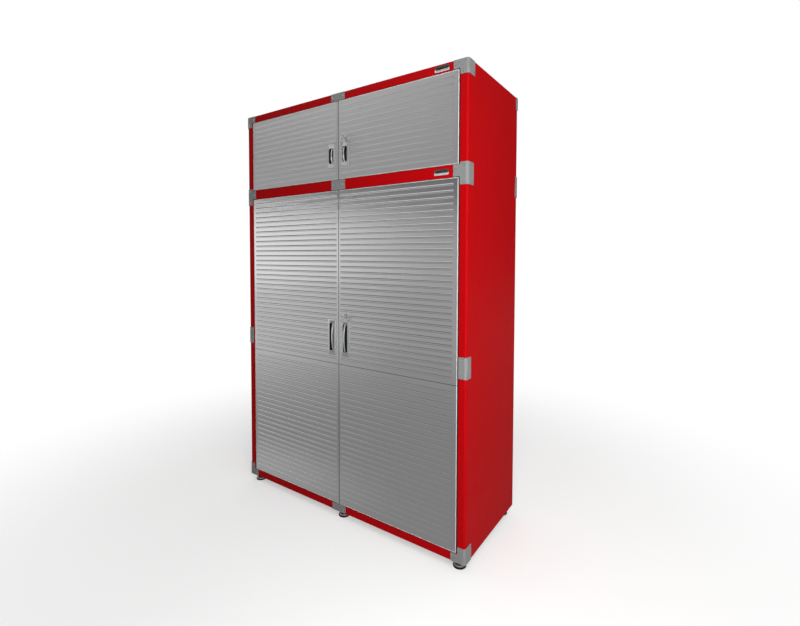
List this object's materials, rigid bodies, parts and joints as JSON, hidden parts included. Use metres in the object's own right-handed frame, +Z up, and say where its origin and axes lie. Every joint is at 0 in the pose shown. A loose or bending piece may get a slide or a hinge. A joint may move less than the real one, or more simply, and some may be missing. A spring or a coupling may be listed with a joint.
{
  "type": "storage cabinet",
  "caption": "Tall free-standing steel storage cabinet with short upper doors over tall lower doors, ribbed metal door faces, flush pulls, key locks and levelling feet.",
  "frame": {"origin": "on the floor, under the middle of the cabinet's whole box, from the hanging keys in front to the rear screw heads", "axes": "+Z up; the doors face -Y; +X is to the right of someone who faces the doors"},
  "size_m": [1.2274, 0.5082, 1.8288],
  "materials": {
    "red_powder_coat": "satin red powder coat",
    "ribbed_steel": "satin ribbed steel sheet with a fine level grain",
    "grey_powder_coat": "light grey powder coat",
    "bracket_grey": "satin grey paint",
    "chrome": "polished chrome plate",
    "zinc_steel": "bright zinc plate",
    "nickel_key": "nickel plated, lightly worn",
    "badge_metal": "blank satin aluminium",
    "rubber": "black moulded rubber pad under a bright zinc plated dome, stem and nut",
    "catch_plastic": "black moulded nylon"
  },
  "bodies": {
    "body": {"lower_side_right": "red_powder_coat", "lower_side_left": "red_powder_coat", "middle_side_right": "red_powder_coat", "middle_side_left": "red_powder_coat", "upper_side_right": "red_powder_coat", "upper_side_left": "red_powder_coat", "base_right": "red_powder_coat", "base_left": "red_powder_coat", "divider_right": "red_powder_coat", "divider_left": "red_powder_coat", "top_right": "red_powder_coat", "top_left": "red_powder_coat", "back_lower": "red_powder_coat", "back_middle": "red_powder_coat", "back_upper": "red_powder_coat", "bottom_corner_brackets": "bracket_grey", "top_corner_brackets": "bracket_grey", "joint_brackets": "bracket_grey", "centre_brackets": "bracket_grey", "rear_brackets": "bracket_grey", "bracket_screws": "zinc_steel", "blank_badges": "badge_metal", "hinge_pins": "zinc_steel", "door_catches": "catch_plastic", "shelf_lower": "grey_powder_coat", "shelf_middle": "grey_powder_coat", "shelf_upper": "grey_powder_coat", "shelf_clips": "zinc_steel", "shelf_standards": "grey_powder_coat", "foot_plates": "zinc_steel"},
    "lower_left_door": {"lower_left_skin_bottom": "ribbed_steel", "lower_left_skin_top": "ribbed_steel", "lower_left_pan": "grey_powder_coat", "lower_left_pull": "chrome"},
    "lower_right_door": {"lower_right_skin_bottom": "ribbed_steel", "lower_right_skin_top": "ribbed_steel", "lower_right_pan": "grey_powder_coat", "lower_right_pull": "chrome", "lower_lock_body": "chrome"},
    "lower_bolt": {"lower_bolt": "zinc_steel"},
    "lower_lock_plug": {"lower_lock_plug": "zinc_steel"},
    "lower_key": {"lower_key": "nickel_key"},
    "lower_key_ring": {"lower_key_ring": "nickel_key"},
    "upper_left_door": {"upper_left_skin": "ribbed_steel", "upper_left_pan": "grey_powder_coat", "upper_left_pull": "chrome"},
    "upper_right_door": {"upper_right_skin": "ribbed_steel", "upper_right_pan": "grey_powder_coat", "upper_right_pull": "chrome", "upper_lock_body": "chrome"},
    "upper_bolt": {"upper_bolt": "zinc_steel"},
    "upper_lock_plug": {"upper_lock_plug": "zinc_steel"},
    "upper_key": {"upper_key": "nickel_key"},
    "upper_key_ring": {"upper_key_ring": "nickel_key"},
    "foot_front_left": {"foot_front_left": "rubber"},
    "foot_front_centre": {"foot_front_centre": "rubber"},
    "foot_front_right": {"foot_front_right": "rubber"},
    "foot_rear_left": {"foot_rear_left": "rubber"},
    "foot_rear_centre": {"foot_rear_centre": "rubber"},
    "foot_rear_right": {"foot_rear_right": "rubber"}
  },
  "joints": [
    {"name": "lower_left_door_hinge", "type": "hinge", "parent": "body", "child": "lower_left_door", "pos_m": [-0.5662, -0.211, 0.7434], "axis": [0, 0, -1], "range_deg": [0, 95]},
    {"name": "lower_right_door_hinge", "type": "hinge", "parent": "body", "child": "lower_right_door", "pos_m": [0.5662, -0.211, 0.7434], "axis": [0, 0, 1], "range_deg": [0, 95]},
    {"name": "lower_bolt_slide", "type": "slide", "parent": "lower_left_door", "child": "lower_bolt", "axis": [0, 0, 1], "range_m": [0, 0.014]},
    {"name": "lower_lock_turn", "type": "hinge", "parent": "lower_right_door", "child": "lower_lock_plug", "pos_m": [0.04, -0.22, 0.889], "axis": [0, 1, 0], "range_deg": [0, 90]},
    {"name": "lower_key_pull", "type": "slide", "parent": "lower_lock_plug", "child": "lower_key", "axis": [0, -1, 0], "range_m": [0, 0.03]},
    {"name": "lower_ring_swing", "type": "hinge", "parent": "lower_key", "child": "lower_key_ring", "pos_m": [0.04, -0.2441, 0.8873], "axis": [-1, 0, 0], "range_deg": [-22, 180]},
    {"name": "upper_left_door_hinge", "type": "hinge", "parent": "body", "child": "upper_left_door", "pos_m": [-0.5662, -0.211, 1.6323], "axis": [0, 0, -1], "range_deg": [0, 95]},
    {"name": "upper_right_door_hinge", "type": "hinge", "parent": "body", "child": "upper_right_door", "pos_m": [0.5662, -0.211, 1.6323], "axis": [0, 0, 1], "range_deg": [0, 95]},
    {"name": "upper_bolt_slide", "type": "slide", "parent": "upper_left_door", "child": "upper_bolt", "axis": [0, 0, 1], "range_m": [0, 0.014]},
    {"name": "upper_lock_turn", "type": "hinge", "parent": "upper_right_door", "child": "upper_lock_plug", "pos_m": [0.04, -0.22, 1.6358], "axis": [0, 1, 0], "range_deg": [0, 90]},
    {"name": "upper_key_pull", "type": "slide", "parent": "upper_lock_plug", "child": "upper_key", "axis": [0, -1, 0], "range_m": [0, 0.03]},
    {"name": "upper_ring_swing", "type": "hinge", "parent": "upper_key", "child": "upper_key_ring", "pos_m": [0.04, -0.2441, 1.6341], "axis": [-1, 0, 0], "range_deg": [-22, 180]},
    {"name": "foot_front_left_turn", "type": "hinge", "parent": "body", "child": "foot_front_left", "pos_m": [-0.5716, -0.186, 0], "axis": [0, 0, 1], "continuous": true},
    {"name": "foot_front_centre_turn", "type": "hinge", "parent": "body", "child": "foot_front_centre", "pos_m": [0, -0.186, 0], "axis": [0, 0, 1], "continuous": true},
    {"name": "foot_front_right_turn", "type": "hinge", "parent": "body", "child": "foot_front_right", "pos_m": [0.5716, -0.186, 0], "axis": [0, 0, 1], "continuous": true},
    {"name": "foot_rear_left_turn", "type": "hinge", "parent": "body", "child": "foot_rear_left", "pos_m": [-0.5716, 0.216, 0], "axis": [0, 0, 1], "continuous": true},
    {"name": "foot_rear_centre_turn", "type": "hinge", "parent": "body", "child": "foot_rear_centre", "pos_m": [0, 0.216, 0], "axis": [0, 0, 1], "continuous": true},
    {"name": "foot_rear_right_turn", "type": "hinge", "parent": "body", "child": "foot_rear_right", "pos_m": [0.5716, 0.216, 0], "axis": [0, 0, 1], "continuous": true}
  ]
}
